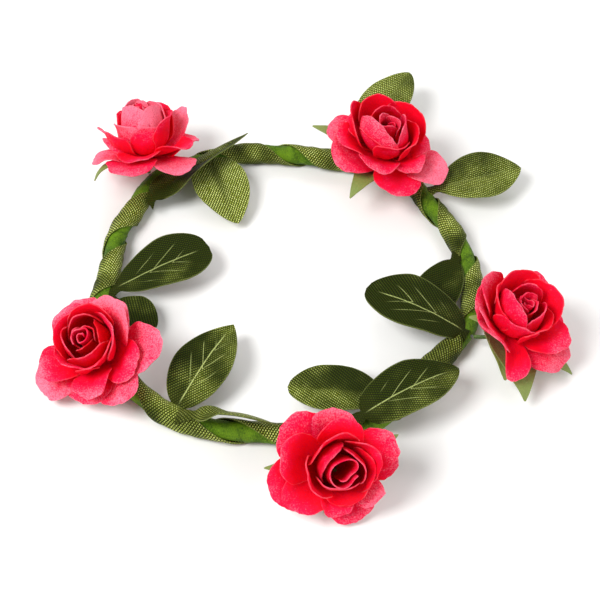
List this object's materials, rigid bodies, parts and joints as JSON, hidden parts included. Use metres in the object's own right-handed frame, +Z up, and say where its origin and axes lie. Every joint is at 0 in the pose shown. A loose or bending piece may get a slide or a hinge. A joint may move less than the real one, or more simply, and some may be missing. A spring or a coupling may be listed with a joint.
{
  "type": "flower crown",
  "caption": "Small flower crown: a hand-bent wire ring bound in green floral tape and woven leaf ribbon, with paper roses on bendable wire stems.",
  "frame": {"origin": "centre of the ring, on the surface that the crown lies on", "axes": "+Z up out of the ring, -Y the front rose's side, +X to the right seen from the front"},
  "size_m": [0.1576, 0.1751, 0.0304],
  "materials": {
    "petal_paper": "handmade fibrous paper, pale coral edges",
    "bud_paper": "handmade fibrous paper, deep red",
    "sepal_paper": "matte olive paper with a reddish tint",
    "floral_tape": "waxy stretched crepe tape",
    "leaf_ribbon": "woven satin-edged ribbon, soft sheen",
    "stem_wire": "paper-covered wire, matte",
    "steel_wire": "drawn steel wire"
  },
  "bodies": {
    "ring": {"ring_wire": "steel_wire", "ring_tape": "floral_tape", "ribbon_wrap_1": "leaf_ribbon", "ribbon_wrap_2": "leaf_ribbon", "ribbon_wrap_3": "leaf_ribbon", "ribbon_wrap_4": "leaf_ribbon", "ribbon_wrap_5": "leaf_ribbon", "leaf_01": "leaf_ribbon", "leaf_02": "leaf_ribbon", "leaf_03": "leaf_ribbon", "leaf_04": "leaf_ribbon", "leaf_05": "leaf_ribbon", "leaf_06": "leaf_ribbon", "leaf_07": "leaf_ribbon", "leaf_08": "leaf_ribbon", "leaf_09": "leaf_ribbon", "leaf_10": "leaf_ribbon", "leaf_11": "leaf_ribbon", "leaf_12": "leaf_ribbon", "back_left_rose_stem_leg": "stem_wire", "back_right_rose_stem_leg": "stem_wire", "front_rose_stem_leg": "stem_wire", "left_rose_stem_leg": "stem_wire", "right_rose_stem_leg": "stem_wire"},
    "back_left_rose": {"back_left_rose_stem": "stem_wire", "back_left_rose_calyx": "sepal_paper", "back_left_rose_outer_petals": "petal_paper", "back_left_rose_middle_petals": "petal_paper", "back_left_rose_bud": "bud_paper"},
    "back_right_rose": {"back_right_rose_stem": "stem_wire", "back_right_rose_calyx": "sepal_paper", "back_right_rose_outer_petals": "petal_paper", "back_right_rose_middle_petals": "petal_paper", "back_right_rose_bud": "bud_paper"},
    "front_rose": {"front_rose_stem": "stem_wire", "front_rose_calyx": "sepal_paper", "front_rose_outer_petals": "petal_paper", "front_rose_middle_petals": "petal_paper", "front_rose_bud": "bud_paper"},
    "left_rose": {"left_rose_stem": "stem_wire", "left_rose_calyx": "sepal_paper", "left_rose_outer_petals": "petal_paper", "left_rose_middle_petals": "petal_paper", "left_rose_bud": "bud_paper"},
    "right_rose": {"right_rose_stem": "stem_wire", "right_rose_calyx": "sepal_paper", "right_rose_outer_petals": "petal_paper", "right_rose_middle_petals": "petal_paper", "right_rose_bud": "bud_paper"}
  },
  "joints": [
    {"name": "back_left_rose_nod", "type": "hinge", "parent": "ring", "child": "back_left_rose", "pos_m": [-0.04328, 0.0445, 0.00691], "axis": [-0.5989, -0.8008, 0], "range_deg": [-8, 12]},
    {"name": "back_right_rose_nod", "type": "hinge", "parent": "ring", "child": "back_right_rose", "pos_m": [0.03131, 0.05015, 0.0072], "axis": [-0.9242, 0.382, 0], "range_deg": [-15, 8]},
    {"name": "front_rose_nod", "type": "hinge", "parent": "ring", "child": "front_rose", "pos_m": [0.01328, -0.05892, 0.006], "axis": [0.9945, 0.1051, 0], "range_deg": [-20, 0]},
    {"name": "left_rose_nod", "type": "hinge", "parent": "ring", "child": "left_rose", "pos_m": [-0.0523, -0.02893, 0.00681], "axis": [0.4544, -0.8908, 0], "range_deg": [-15, 5]},
    {"name": "right_rose_nod", "type": "hinge", "parent": "ring", "child": "right_rose", "pos_m": [0.05664, -0.02126, 0.0051], "axis": [0.5188, 0.8549, 0], "range_deg": [-15, 10]}
  ]
}
